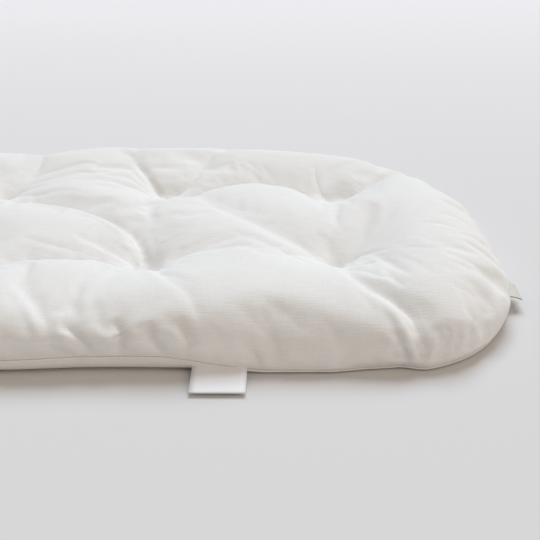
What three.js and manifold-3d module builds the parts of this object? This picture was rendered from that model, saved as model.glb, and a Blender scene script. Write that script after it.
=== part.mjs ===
// Tufted cotton lounger pad for an infant: two cloth panels sewn together round a low seam,
// two layers of batting inside, and twine ties that draw the panels together at each tuft.
// Millimetres. +X runs along the pad, +Z is up, and the pad lies on z = 0.

import * as THREE from 'three'
import { mergeVertices } from 'three/addons/utils/BufferGeometryUtils.js'
import Module from 'manifold-3d'

const wasm = await Module()
wasm.setup()

// Driving dimensions of the pad, taken at its seam. The end by the label has a tight near corner and
// a wide far one.
const seamLength = 738
const seamWidth = 333
const seamHeight = 10
const cornerRadius = 125
const nearEndRadius = 94
const farEndRadius = 160
const crownHeight = 44.5

// Side of the pad: how far in the roll over the edge reaches, and how far it swells past the seam.
// A roll power of 1 would make it round, and a lower one makes it fuller.
const edgeRollDepth = 55
const edgeRollSwell = 8.5
const edgeRollPower = 0.7
const underEdgeDepth = 14
const underEdgeSwell = 3
const sideDrawIn = 1.5

// Tufts
const tuftColumnCount = 5
const tuftEndMargin = 113
const tuftSideMargin = 102
const tuftTopHeight = 22
const tuftUndersideHeight = 10
const puckerReach = 20
const funnelReach = 28

// Valleys from tuft to tuft: along a row, across the pad, and slanting from a far tuft to the near
// tuft of the next column, where the valley bows to one side and to the other by turns
const rowValleyDepth = 6
const rowValleyWidth = 18
const crossValleyDepth = 4
const crossValleyWidth = 26
const crossValleyFade = 24
const slantValleyDepth = 9
const slantValleyWidth = 18
const slantValleyBow = 17

// Cloth and batting
const clothThickness = 1
const seamAllowance = 10
const pieceGap = 0.3

// Twine ties
const twineDiameter = 1.2
const stitchLength = 4.4
const knotRadius = 2.6
const knotHeight = 3.2
const tailLength = 5
const tailDrop = 3.6

// Woven label in the near long seam, and the small tag in the seam of the near right corner
const ribbonThickness = 0.25
const labelWidth = 32
const labelLength = 24
const labelDrop = 7
const labelX = 184
const endTagWidth = 22
const endTagLength = 8
const endTagDrop = 2
const endTagFromMiddle = 72

// Counts of facets
const cornerColumnCount = 3
const sideBandCount = 4
const underBandCount = 3
const twineSideCount = 6
const twineStepCount = 8
const knotSideCount = 8
const knotBandCount = 5
const ribbonStepCount = 6

// A cubic curve between level ends rises to this share of its control points
const bezierArchShare = 0.75

// Sizes worked out from the ones above
const halfLength = seamLength / 2
const halfWidth = seamWidth / 2
const coreHalfLength = halfLength - cornerRadius
const tuftPitch = (seamLength - 2 * tuftEndMargin) / (tuftColumnCount - 1)
const tuftRowY = halfWidth - tuftSideMargin
const lastTuftX = halfLength - tuftEndMargin
const upperSeamZ = seamHeight + pieceGap / 2
const lowerSeamZ = seamHeight - pieceGap / 2
const quarterTurn = Math.PI / 2
const stitchTurn = Math.PI / 4

const tufts = []
for (let column = 0; column < tuftColumnCount; column += 1) {
  for (const side of [-1, 1]) {
    const number = tuftColumnCount * (side < 0 ? 0 : 1) + column + 1
    tufts.push({ number, x: column * tuftPitch - lastTuftX, y: side * tuftRowY })
  }
}

const cottonCloth = new THREE.MeshStandardMaterial({ color: '#ebe9e4', roughness: 0.94, metalness: 0 })
const batting = new THREE.MeshStandardMaterial({ color: '#e4dccb', roughness: 1, metalness: 0 })
const cottonTwine = new THREE.MeshStandardMaterial({ color: '#e2ddd0', roughness: 0.85, metalness: 0 })
const wovenRibbon = new THREE.MeshStandardMaterial({ color: '#e9e5dc', roughness: 0.7, metalness: 0 })

// How far a slanting valley bows out at x, towards the far side in one bay between two columns of
// tufts and towards the near side in the next. Past the last column there is no bay.
function slantBow(x) {
  const bays = (x + lastTuftX) / tuftPitch
  const side = Math.floor(bays) % 2 === 0 ? 1 : -1
  return Math.abs(x) < lastTuftX ? side * slantValleyBow * Math.sin(Math.PI * (bays % 1)) : 0
}

function hollow(away, width) {
  return Math.exp(-((away / width) ** 2))
}

// Height of the top cloth: a crown with a funnel at each tuft and valleys from tuft to tuft.
function topHeight(x, y) {
  const column = Math.round((x + lastTuftX) / tuftPitch)
  const nearestColumn = Math.min(Math.max(column, 0), tuftColumnCount - 1)
  const awayX = Math.abs(x - (nearestColumn * tuftPitch - lastTuftX))
  const awayY = Math.abs(Math.abs(y) - tuftRowY)
  const funnel = Math.exp(-Math.hypot(awayX, awayY) / funnelReach)
  const pastRow = Math.max(Math.abs(y) - tuftRowY, 0)
  const across = hollow(awayX, crossValleyWidth) * hollow(pastRow, crossValleyFade)
  let valley = crossValleyDepth * across
  if (Math.abs(x) < lastTuftX) {
    const bayShare = ((x + lastTuftX) / tuftPitch) % 1
    const slantY = tuftRowY * (1 - 2 * bayShare) + slantBow(x)
    const awaySlant = (y - slantY) / Math.hypot(1, (2 * tuftRowY) / tuftPitch)
    const slant = slantValleyDepth * hollow(awaySlant, slantValleyWidth)
    valley = Math.max(valley, slant, rowValleyDepth * hollow(awayY, rowValleyWidth))
  }
  return crownHeight - (crownHeight - tuftTopHeight) * funnel - valley * (1 - funnel)
}

// Height of the underside: flat on the floor, with a dimple at each tuft.
function undersideHeight(x, y) {
  let lift = 0
  for (const tuft of tufts) {
    lift = Math.max(lift, 1 - Math.hypot(x - tuft.x, y - tuft.y) / puckerReach)
  }
  return tuftUndersideHeight * lift
}

function middleHeight(x, y) {
  return (topHeight(x, y) + undersideHeight(x, y)) / 2
}

// The seam is drawn in along the long sides, opposite each tuft.
function drawIn(x, tilt) {
  return sideDrawIn * (Math.cos((Math.PI * (x + lastTuftX)) / tuftPitch) * Math.cos(tilt)) ** 2
}

// How a corner of the given radius lies at x: the point of its core, its tilt and the field's edge.
function cornerAt(x, radius) {
  const fieldRadius = radius - edgeRollDepth
  const core = Math.min(x, halfLength - radius)
  const tilt = Math.asin(Math.min((x - core) / fieldRadius, 1))
  return { core, radius, tilt, edge: halfWidth - radius + fieldRadius * Math.cos(tilt) }
}

// Rows of the field run along the middle, through each row of tufts and beside it.
function rowsBetween(near, far) {
  const inner = tuftRowY - puckerReach
  const outerNear = Math.min(tuftRowY + puckerReach, (tuftRowY + near.edge) / 2)
  const outerFar = Math.min(tuftRowY + puckerReach, (tuftRowY + far.edge) / 2)
  return [-outerNear, -tuftRowY, -inner, 0, inner, tuftRowY, outerFar]
}

// Columns of one half of the field run through each tuft, beside it and midway, then turn into the
// corners, where the rows draw together. A column keeps its x, its rows and how both corners lie.
function makeColumns(side, nearRadius, farRadius) {
  const xs = [0]
  for (let x = 0; x <= lastTuftX + tuftPitch / 4; x += tuftPitch) {
    xs.push(x + puckerReach)
    if (x < lastTuftX - tuftPitch / 4) {
      xs.push(x + tuftPitch / 2, x + tuftPitch - puckerReach, x + tuftPitch)
    }
  }
  const reachX = xs[xs.length - 1]
  const reach = { near: cornerAt(reachX, nearRadius), far: cornerAt(reachX, farRadius) }
  for (let step = 1; step <= cornerColumnCount; step += 1) {
    const tilt = reach.near.tilt + ((quarterTurn - reach.near.tilt) * step) / cornerColumnCount
    xs.push(halfLength - nearRadius + (nearRadius - edgeRollDepth) * Math.sin(tilt))
  }
  return xs.map((x) => {
    const near = cornerAt(x, nearRadius)
    const far = cornerAt(x, farRadius)
    let rows = rowsBetween(near, far)
    if (x > reachX) {
      const narrowing = (near.edge + far.edge) / (reach.near.edge + reach.far.edge)
      rows = rowsBetween(reach.near, reach.far).map((y) => (y + reach.near.edge) * narrowing - near.edge)
    }
    return { x: side * x, side, near, far, rows }
  })
}

const columns = [
  ...makeColumns(-1, cornerRadius, cornerRadius).slice(1).reverse(),
  ...makeColumns(1, nearEndRadius, farEndRadius),
]
const lastColumn = columns.length - 1
const lastRow = columns[0].rows.length + 1

// A station is where a field line meets the border: a core point and the outward direction.
function makeStation(column, row) {
  const end = columns[column]
  if (row === 0 || row === lastRow) {
    const corner = row === 0 ? end.near : end.far
    const across = row === 0 ? -1 : 1
    return { coreX: end.side * corner.core, coreY: across * (halfWidth - corner.radius),
      radius: corner.radius - drawIn(end.x, corner.tilt), outX: end.side * Math.sin(corner.tilt),
      outY: across * Math.cos(corner.tilt) }
  }
  return { coreX: end.side * coreHalfLength, coreY: end.rows[row - 1], radius: cornerRadius,
    outX: end.side, outY: 0 }
}

function stationPoint(station, inset) {
  const reach = station.radius - inset
  return [station.coreX + station.outX * reach, station.coreY + station.outY * reach]
}

function fieldPoint(column, row) {
  const onBorder = column === 0 || column === lastColumn || row === 0 || row === lastRow
  if (onBorder) {
    return stationPoint(makeStation(column, row), edgeRollDepth)
  }
  const x = columns[column].x
  const y = columns[column].rows[row - 1]
  const betweenRows = Math.max(1 - (y / tuftRowY) ** 2, 0)
  return [x, y + slantBow(x) * betweenRows]
}

// Grid places round the field's border, anticlockwise as seen from above
const borderPlaces = []
for (let column = 0; column < lastColumn; column += 1) borderPlaces.push([column, 0])
for (let row = 0; row < lastRow; row += 1) borderPlaces.push([lastColumn, row])
for (let column = lastColumn; column > 0; column -= 1) borderPlaces.push([column, lastRow])
for (let row = lastRow; row > 0; row -= 1) borderPlaces.push([0, row])

// One skin of a layer. Its rings give inset and height at the border, outermost first, for the
// height that the skin has where the border meets the field.
function makeSkin(rings, height) {
  const fieldVertices = columns.map((unused, column) => {
    const line = []
    for (let row = 0; row <= lastRow; row += 1) {
      const [x, y] = fieldPoint(column, row)
      line.push([x, y, height(x, y)])
    }
    return line
  })
  const ringVertices = rings.map((ring) => borderPlaces.map(([column, row]) => {
    const [inset, z] = ring(fieldVertices[column][row][2])
    return [...stationPoint(makeStation(column, row), inset), z]
  }))
  ringVertices.push(borderPlaces.map(([column, row]) => fieldVertices[column][row]))
  const triangles = []
  for (let ring = 0; ring < ringVertices.length - 1; ring += 1) {
    const outer = ringVertices[ring]
    const inner = ringVertices[ring + 1]
    outer.forEach((corner, place) => {
      const next = (place + 1) % outer.length
      triangles.push([corner, outer[next], inner[next]], [corner, inner[next], inner[place]])
    })
  }
  for (let column = 0; column < lastColumn; column += 1) {
    for (let row = 0; row < lastRow; row += 1) {
      const a = fieldVertices[column][row]
      const b = fieldVertices[column + 1][row]
      const c = fieldVertices[column + 1][row + 1]
      const d = fieldVertices[column][row + 1]
      if (foldsAlongFirstDiagonal(a, b, c, d)) {
        triangles.push([a, b, c], [a, c, d])
      } else {
        triangles.push([a, b, d], [b, c, d])
      }
    }
  }
  return triangles
}

// A cell at a tuft folds round the tuft, and any other along the diagonal that keeps nearer to the
// top cloth halfway. Every layer folds its cells alike, so that layers stay parallel.
function foldsAlongFirstDiagonal(a, b, c, d) {
  if (isTuft(a) || isTuft(c)) {
    return false
  }
  return isTuft(b) || isTuft(d) || missAtMiddle(a, c) <= missAtMiddle(b, d)
}

function isTuft([x, y]) {
  return topHeight(x, y) < tuftTopHeight + pieceGap
}

function missAtMiddle(start, end) {
  const middle = topHeight((start[0] + end[0]) / 2, (start[1] + end[1]) / 2)
  return Math.abs((topHeight(start[0], start[1]) + topHeight(end[0], end[1])) / 2 - middle)
}

// Rings of the rolled edge at a depth below the outer face of the top cloth.
function edgeRollRings(depth, firstBand) {
  const rings = []
  for (let band = firstBand; band < sideBandCount; band += 1) {
    const angle = (quarterTurn * band) / sideBandCount
    const out = Math.cos(angle) ** edgeRollPower
    const up = Math.sin(angle) ** edgeRollPower
    rings.push((borderZ) => {
      const roll = edgeRollDepth * (1 - out) - edgeRollSwell * Math.sin(2 * angle)
      return [roll + depth * out, upperSeamZ + (borderZ - upperSeamZ) * up]
    })
  }
  return rings
}

// Rings of the lower edge at a depth above the outer face of the bottom cloth.
function underEdgeRings(depth, firstBand) {
  const rings = []
  for (let band = firstBand; band <= underBandCount; band += 1) {
    const angle = (quarterTurn * band) / underBandCount
    const roll = underEdgeDepth * (1 - Math.cos(angle)) - underEdgeSwell * Math.sin(2 * angle)
    const z = lowerSeamZ * (1 - Math.sin(angle)) + depth * Math.sin(angle)
    rings.push(() => [roll + depth * Math.cos(angle), z])
  }
  return rings
}

function closedGeometry(upperSkin, lowerSkin) {
  const corners = upperSkin.flat(2)
  for (const [a, b, c] of lowerSkin) {
    corners.push(...a, ...c, ...b)
  }
  const geometry = new THREE.BufferGeometry()
  geometry.setAttribute('position', new THREE.Float32BufferAttribute(corners, 3))
  return geometry
}

function toSolid(geometry) {
  const bare = new THREE.BufferGeometry()
  bare.setAttribute('position', geometry.getAttribute('position').clone())
  if (geometry.index) {
    bare.setIndex(geometry.index.clone())
  }
  const merged = mergeVertices(bare)
  return new wasm.Manifold(new wasm.Mesh({
    numProp: 3,
    vertProperties: new Float32Array(merged.getAttribute('position').array),
    triVerts: new Uint32Array(merged.index.array),
  }))
}

function toGeometry(solid) {
  const cut = solid.getMesh()
  const geometry = new THREE.BufferGeometry()
  geometry.setAttribute('position', new THREE.BufferAttribute(cut.vertProperties, 3))
  geometry.setIndex(new THREE.BufferAttribute(cut.triVerts, 1))
  return geometry
}

// Top cloth: outer face, and inner face that turns in at the seam as the seam allowance.
function topCoverSkins() {
  const outer = makeSkin(edgeRollRings(0, 0), topHeight)
  const inner = makeSkin([
    () => [0, upperSeamZ],
    () => [seamAllowance, upperSeamZ],
    () => [clothThickness, upperSeamZ + clothThickness],
    ...edgeRollRings(clothThickness, 1),
  ], (x, y) => topHeight(x, y) - clothThickness)
  return closedGeometry(outer, inner)
}

function bottomCoverSkins() {
  const inner = makeSkin([
    () => [0, lowerSeamZ],
    () => [seamAllowance, lowerSeamZ],
    () => [clothThickness, lowerSeamZ - clothThickness],
    ...underEdgeRings(clothThickness, 1),
  ], (x, y) => undersideHeight(x, y) + clothThickness)
  const outer = makeSkin(underEdgeRings(0, 0), undersideHeight)
  return closedGeometry(inner, outer)
}

// The two layers of batting fill the cloth and part at mid height, round the seam allowance.
function upperBattingSkins() {
  const inset = clothThickness + pieceGap
  const rim = () => [inset, upperSeamZ + inset]
  const upper = makeSkin([rim, ...edgeRollRings(inset, 1)], (x, y) => topHeight(x, y) - inset)
  const lower = makeSkin([rim, () => [seamAllowance + pieceGap, upperSeamZ + pieceGap]],
    (x, y) => middleHeight(x, y) + pieceGap / 2)
  return closedGeometry(upper, lower)
}

function lowerBattingSkins() {
  const inset = clothThickness + pieceGap
  const rim = () => [inset, lowerSeamZ - inset]
  const upper = makeSkin([rim, () => [seamAllowance + pieceGap, lowerSeamZ - pieceGap]],
    (x, y) => middleHeight(x, y) - pieceGap / 2)
  const lower = makeSkin([rim, ...underEdgeRings(inset, 1)], (x, y) => undersideHeight(x, y) + inset)
  return closedGeometry(upper, lower)
}

// Openings for the ties, set along the slanting stitch at each tuft.
function pierce(solid, width, offsets) {
  const depth = twineDiameter + 2 * pieceGap
  let pierced = solid
  for (const tuft of tufts) {
    for (const offset of offsets) {
      const opening = new THREE.BoxGeometry(width, depth, 2 * crownHeight)
      opening.translate(offset, 0, 0)
      opening.rotateZ(stitchTurn)
      opening.translate(tuft.x, tuft.y, 0)
      pierced = pierced.subtract(toSolid(opening))
    }
  }
  return pierced
}

// The cloth has a hole for each strand, and the batting one passage for both.
function cutStrandHoles(solid) {
  return pierce(solid, twineDiameter + 2 * pieceGap, [-stitchLength / 2, stitchLength / 2])
}

function cutTiePassages(solid) {
  return pierce(solid, stitchLength + twineDiameter + 2 * pieceGap, [0])
}

// A tie is one twine: up through the pad, a short stitch across the tuft, down again, and a knot
// that bears on the sloping cloth of the dimple. Its two tails hang from the knot.
function makeTie() {
  const radius = twineDiameter / 2
  const strandX = stitchLength / 2
  const riseAlong = topHeight(lastTuftX - puckerReach, tuftRowY) - tuftTopHeight
  const riseAcross = topHeight(lastTuftX, tuftRowY + puckerReach) - tuftTopHeight
  const strandTopZ = tuftTopHeight + (strandX * Math.SQRT1_2 * (riseAlong + riseAcross)) / puckerReach
  const dimpleSlope = (Math.SQRT2 * tuftUndersideHeight) / puckerReach
  const knotDepth = Math.hypot(knotHeight / 2, dimpleSlope * knotRadius)
  const knotZ = tuftUndersideHeight - knotDepth - pieceGap * Math.hypot(1, dimpleSlope)
  const archZ = strandTopZ + (pieceGap + radius) / bezierArchShare
  const arch = new THREE.CubicBezierCurve3(
    new THREE.Vector3(-strandX, 0, strandTopZ),
    new THREE.Vector3(-strandX, 0, archZ),
    new THREE.Vector3(strandX, 0, archZ),
    new THREE.Vector3(strandX, 0, strandTopZ),
  )
  const section = new THREE.Shape()
  for (let side = 0; side < twineSideCount; side += 1) {
    const turn = (2 * Math.PI * side) / twineSideCount
    const corner = [radius * Math.cos(turn), radius * Math.sin(turn)]
    if (side === 0) {
      section.moveTo(...corner)
    } else {
      section.lineTo(...corner)
    }
  }
  section.closePath()
  const twine = new THREE.ExtrudeGeometry(section, {
    steps: twineStepCount, bevelEnabled: false, extrudePath: arch,
  })
  drawEndsDown(twine, strandTopZ, knotZ)
  const knot = new THREE.SphereGeometry(1, knotSideCount, knotBandCount)
  knot.scale(knotRadius, knotRadius, knotHeight / 2)
  knot.translate(0, 0, knotZ)
  let tie = toSolid(twine).add(toSolid(knot))
  const slope = Math.asin(tailDrop / tailLength)
  for (const turn of [-slope, Math.PI + slope]) {
    const tail = new THREE.CylinderGeometry(radius, radius, tailLength, twineSideCount)
    tail.translate(0, tailLength / 2, 0)
    tail.rotateX(turn)
    tail.translate(0, (Math.sign(Math.cos(turn)) * knotRadius) / 2, knotZ)
    tie = tie.add(toSolid(tail))
  }
  return toGeometry(tie)
}

// The two ends of an arch, which leave it straight down, are lengthened to a lower height.
function drawEndsDown(arch, endZ, footZ) {
  const position = arch.getAttribute('position')
  const tolerance = pieceGap / 10
  for (let vertex = 0; vertex < position.count; vertex += 1) {
    if (position.getZ(vertex) < endZ + tolerance) {
      position.setZ(vertex, footZ)
    }
  }
}

// A woven ribbon folded back on itself: its root fills the seam allowance, and outside the seam
// it drops towards its fold.
function makeRibbon(width, length, drop) {
  const outer = ribbonThickness + pieceGap / 2
  const slit = pieceGap / 2
  const fall = new THREE.CubicBezierCurve(
    new THREE.Vector2(0, 0),
    new THREE.Vector2(length / 3, 0),
    new THREE.Vector2((2 * length) / 3, -drop / 2),
    new THREE.Vector2(length, -drop),
  )
  const spine = [{ point: new THREE.Vector2(-seamAllowance, 0), normal: new THREE.Vector2(0, 1) }]
  for (let step = 0; step <= ribbonStepCount; step += 1) {
    const share = step / ribbonStepCount
    const tangent = fall.getTangent(share)
    spine.push({ point: fall.getPoint(share), normal: new THREE.Vector2(-tangent.y, tangent.x) })
  }
  const offset = ({ point, normal }, distance) => point.clone().addScaledVector(normal, distance)
  const tip = spine[spine.length - 1]
  const along = new THREE.Vector2(tip.normal.y, -tip.normal.x)
  const back = [...spine].reverse()
  const outline = [
    ...back.map((place) => offset(place, outer)),
    ...spine.map((place) => offset(place, slit)),
    ...back.map((place) => offset(place, -slit)),
    ...spine.map((place) => offset(place, -outer)),
    tip.point.clone().addScaledVector(along, outer),
  ]
  const ribbon = new THREE.ExtrudeGeometry(new THREE.Shape(outline), { depth: width, bevelEnabled: false })
  ribbon.rotateX(quarterTurn)
  ribbon.translate(0, width / 2, seamHeight)
  return ribbon
}

// The pocket that the root of a ribbon takes between the two seam allowances.
function cutRibbonPocket(solid, mesh, width) {
  const length = seamAllowance + pieceGap
  const thickness = 2 * ribbonThickness + 3 * pieceGap
  const pocket = new THREE.BoxGeometry(length + edgeRollSwell, width + 2 * pieceGap, thickness)
  pocket.translate((edgeRollSwell - length) / 2, 0, seamHeight)
  mesh.updateMatrix()
  pocket.applyMatrix4(mesh.matrix)
  return solid.subtract(toSolid(pocket))
}

const pad = new THREE.Group()

function addPiece(name, geometry, material) {
  geometry.computeVertexNormals()
  const mesh = new THREE.Mesh(geometry, material)
  mesh.name = name
  pad.add(mesh)
  return mesh
}

const label = addPiece('woven_label', makeRibbon(labelWidth, labelLength, labelDrop), wovenRibbon)
label.position.set(labelX, -halfWidth + drawIn(labelX, 0), 0)
label.rotation.z = -quarterTurn

const endTag = addPiece('end_tag', makeRibbon(endTagWidth, endTagLength, endTagDrop), wovenRibbon)
const pastStraight = Math.max(endTagFromMiddle - halfWidth + nearEndRadius, 0)
const endTagTurn = -Math.asin(pastStraight / nearEndRadius)
endTag.position.set(halfLength - nearEndRadius * (1 - Math.cos(endTagTurn)), -endTagFromMiddle, 0)
endTag.rotation.z = endTagTurn

function withPockets(solid) {
  const labelled = cutRibbonPocket(solid, label, labelWidth)
  return cutRibbonPocket(labelled, endTag, endTagWidth)
}

const topSolid = withPockets(cutStrandHoles(toSolid(topCoverSkins())))
const bottomSolid = withPockets(cutStrandHoles(toSolid(bottomCoverSkins())))
addPiece('top_cover', toGeometry(topSolid), cottonCloth)
addPiece('bottom_cover', toGeometry(bottomSolid), cottonCloth)
addPiece('batting_upper', toGeometry(cutTiePassages(toSolid(upperBattingSkins()))), batting)
addPiece('batting_lower', toGeometry(cutTiePassages(toSolid(lowerBattingSkins()))), batting)

for (const tuft of tufts) {
  const tie = addPiece(`tuft_tie_${tuft.number}`, makeTie(), cottonTwine)
  tie.position.set(tuft.x, tuft.y, 0)
  tie.rotation.z = stitchTurn
}

export default pad
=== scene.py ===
import math

import bpy
import numpy as np
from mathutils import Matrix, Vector
from mathutils.bvhtree import BVHTree
from mathutils.kdtree import KDTree


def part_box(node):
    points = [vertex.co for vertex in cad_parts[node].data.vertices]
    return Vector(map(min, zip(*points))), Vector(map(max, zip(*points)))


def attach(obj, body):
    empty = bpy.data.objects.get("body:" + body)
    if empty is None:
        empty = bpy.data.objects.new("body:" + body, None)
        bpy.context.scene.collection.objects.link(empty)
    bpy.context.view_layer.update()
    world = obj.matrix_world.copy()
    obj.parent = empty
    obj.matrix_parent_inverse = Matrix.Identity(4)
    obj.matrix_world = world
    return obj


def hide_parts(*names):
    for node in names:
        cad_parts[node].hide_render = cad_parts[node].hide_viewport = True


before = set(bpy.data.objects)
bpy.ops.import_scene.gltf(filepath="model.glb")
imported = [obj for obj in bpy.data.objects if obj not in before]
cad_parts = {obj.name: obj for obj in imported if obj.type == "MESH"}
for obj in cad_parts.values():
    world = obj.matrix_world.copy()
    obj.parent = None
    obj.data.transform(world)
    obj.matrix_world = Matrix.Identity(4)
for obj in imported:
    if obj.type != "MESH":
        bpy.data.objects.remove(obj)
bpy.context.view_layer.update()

scene = bpy.context.scene
scene.view_settings.view_transform = "Standard"
print("frame loaded")

# Camera at the photograph's angle
cameraSettings = {
    "place": (0.2224, -0.6437, 0.2837),
    "pitch": 24.42,       # degrees below the horizon
    "yaw": 1.05,
    "roll": -0.37,
    "lens": 63.33,
    "sensorWidth": 36.0,
    "nearest": 0.01,
}


def addCamera(settings):
    data = bpy.data.cameras.new("photoCamera")
    data.lens = settings["lens"]
    data.sensor_width = settings["sensorWidth"]
    data.clip_start = settings["nearest"]
    camera = bpy.data.objects.new("photoCamera", data)
    scene.collection.objects.link(camera)
    camera.location = settings["place"]
    pitch, yaw, roll = (math.radians(settings[name]) for name in ("pitch", "yaw", "roll"))
    forward = Vector((-math.sin(yaw) * math.cos(pitch), math.cos(yaw) * math.cos(pitch), -math.sin(pitch)))
    right = Vector((math.cos(yaw), math.sin(yaw), 0))
    up = right.cross(forward)
    rolledRight = right * math.cos(roll) + up * math.sin(roll)
    rolledUp = up * math.cos(roll) - right * math.sin(roll)
    camera.rotation_mode = "QUATERNION"
    turned = camera.rotation_quaternion.to_matrix()
    for row in range(3):
        turned[row][0] = rolledRight[row]
        turned[row][1] = rolledUp[row]
        turned[row][2] = -forward[row]
    camera.rotation_quaternion = turned.to_quaternion()
    scene.camera = camera


addCamera(cameraSettings)
print("camera placed")

# Tuft places come from the ties of the frame
tuftCount = 10
tufts = []
for number in range(1, tuftCount + 1):
    low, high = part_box(f"tuft_tie_{number}")
    tufts.append(((low.x + high.x) / 2, (low.y + high.y) / 2))
tuftColumns = sorted({round(x, 4) for x, y in tufts})
tuftRow = max(y for x, y in tufts)
tuftPitch = tuftColumns[1] - tuftColumns[0]
lastTuft = tuftColumns[-1]

# Shape of the pad, in metres
padShape = {
    "halfLength": 0.3688,
    "halfWidth": 0.1685,
    "nearRightRadius": 0.094,
    "farRightRadius": 0.190,
    "leftRadius": 0.125,
    "bulgeTurns": (-90, -70, -50, -30, -10, 10, 30, 50, 70, 90),      # directions round the right-hand end
    "bulges": (0, 0.0044, 0.0045, 0.0030, 0.0005, 0.0000, 0.006, 0.0145, 0.004, 0),
    "bulgePasses": 6,
    "crown": 0.0393,
    "swells": (      # place, reach and extra height of soft swells and hollows on the far side
        (0.0, 0.125, 0.050, -0.0068),
        (0.215, 0.120, 0.055, -0.0043),
        (0.300, 0.110, 0.045, -0.0035),
    ),
    "tuftTop": 0.0185,
    "tuftUnder": 0.010,
    "rollDepth": 0.055,
    "rollFacings": (-1, 0.2, 0.8, 1),         # how far the side faces away from the label's side
    "rollPowers": (1.0, 0.85, 0.7, 0.7),      # 1 is round, less is fuller
    "underDepth": 0.014,
    "underSwell": 0.002,
    "swellPower": 1.5,
    "pitShare": 0.6,          # share of a tuft's depth that lies in its narrow pit
    "pitReach": 0.011,
    "funnelReach": 0.036,
    "furrowDepth": 0.002,
    "furrowWidth": 0.026,
    "edgeFade": 0.030,
    "dimpleReach": 0.020,
    "drawIn": 0.001,
    "drawInTo": 0.29,         # place in X up to which the long sides are drawn in at each tuft
    "spacing": 0.0033,
    "fieldSize": (0.70, 0.26),    # length and width that the spacing divides
    "evenPasses": 40,             # over the field's grid, once it is laid out
    "cornerInset": 0.012,         # how far inside the seam the spacing is measured round a corner
    "rollBands": 20,
    "underBands": 5,
    "flatBands": 6,
    "turnIn": 0.003,
    "seamGap": 0.0001,
    "lip": 0.0007,            # how closely the cloth turns in at the seam
}
# Seam along the label's side: place in X, height, how far it is tucked under, and above it the roll's
# power and how far the roll swells out past the seam. Elsewhere the seam runs evenly
seamRun = {
    "x": (-0.37, 0.060, 0.100, 0.150, 0.165, 0.185, 0.210, 0.250, 0.280, 0.292, 0.305, 0.360),
    "height": (0.010, 0.010, 0.0112, 0.0115, 0.009, 0.0055, 0.003, 0.0024, 0.0024, 0.0028, 0.0024, 0.0024),
    "tuck": (0.0, 0.0, 0.002, 0.002, 0.003, 0.003, 0.002, 0.002, 0.0075, 0.009, 0.0045, 0.0065),
    "power": (0.90, 0.90, 0.90, 0.92, 0.96, 1.02, 1.08, 1.16, 1.16, 1.14, 1.10, 1.04),
    "swell": (0.009, 0.0095, 0.0095, 0.0095, 0.0095, 0.0095, 0.0095, 0.0095, 0.009, 0.009, 0.009, 0.008),
    "elsewhere": {"height": 0.0098, "tuck": 0.001, "swell": 0.0075},
    "facingFrom": 0.1,        # where the label's side begins, as a share of facing it fully
    "facingRamp": 2.2,
}


def topHeight(x, y):
    s = padShape
    nearest = np.clip(np.round((x + lastTuft) / tuftPitch), 0, len(tuftColumns) - 1) * tuftPitch - lastTuft
    awayX = np.abs(x - nearest)
    awayY = np.abs(np.abs(y) - tuftRow)
    away = np.hypot(awayX, awayY)
    pit = np.exp(-away / s["pitReach"])
    funnel = s["pitShare"] * pit + (1 - s["pitShare"]) * np.exp(-away / s["funnelReach"])
    alongRow = np.exp(-(awayY / s["furrowWidth"]) ** 2)
    outer = np.maximum(np.abs(y) - tuftRow, 0)
    alongColumn = np.exp(-(awayX / s["furrowWidth"]) ** 2 - (outer / s["edgeFade"]) ** 2)
    rowFurrow = np.where(np.abs(x) > lastTuft, alongColumn * alongRow, alongRow)
    furrow = np.maximum(rowFurrow, alongColumn)
    swell = sum(
        rise * np.exp(-((x - swellX) ** 2 + (y - swellY) ** 2) / reach ** 2)
        for swellX, swellY, reach, rise in s["swells"]
    )
    full = s["crown"] + swell
    return full - (full - s["tuftTop"]) * funnel - s["furrowDepth"] * furrow * (1 - funnel)


def undersideHeight(x, y):
    lift = np.zeros_like(x)
    for tuftX, tuftY in tufts:
        lift = np.maximum(lift, 1 - np.hypot(x - tuftX, y - tuftY) / padShape["dimpleReach"])
    return padShape["tuftUnder"] * lift


# Border stations run once round the field: core point, direction and radius of each
eighthTurn = math.pi / 4


def cornerCores():
    s = padShape
    corners = {
        "nearLeft": (-1, -1, s["leftRadius"]),
        "nearRight": (1, -1, s["nearRightRadius"]),
        "farRight": (1, 1, s["farRightRadius"]),
        "farLeft": (-1, 1, s["leftRadius"]),
    }
    return {
        name: (sx * (s["halfLength"] - radius), sy * (s["halfWidth"] - radius), radius)
        for name, (sx, sy, radius) in corners.items()
    }


def sideStations(startCore, endCore, startAngle, count):
    # from the middle of one corner to the middle of the next, evenly spaced near the seam
    startArc = (startCore[2] - padShape["cornerInset"]) * eighthTurn
    endArc = (endCore[2] - padShape["cornerInset"]) * eighthTurn
    straight = math.hypot(endCore[0] - startCore[0], endCore[1] - startCore[1])
    stations = []
    for along in np.linspace(0, startArc + straight + endArc, count + 1)[:-1]:
        if along < startArc:
            angle = startAngle + eighthTurn * along / startArc
            stations.append((startCore[0], startCore[1], angle, startCore[2]))
        elif along < startArc + straight:
            share = (along - startArc) / straight
            x, y, radius = (a + (b - a) * share for a, b in zip(startCore, endCore))
            stations.append((x, y, startAngle + eighthTurn, radius))
        else:
            angle = startAngle + eighthTurn + eighthTurn * (along - startArc - straight) / endArc
            stations.append((endCore[0], endCore[1], angle, endCore[2]))
    return stations


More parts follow.
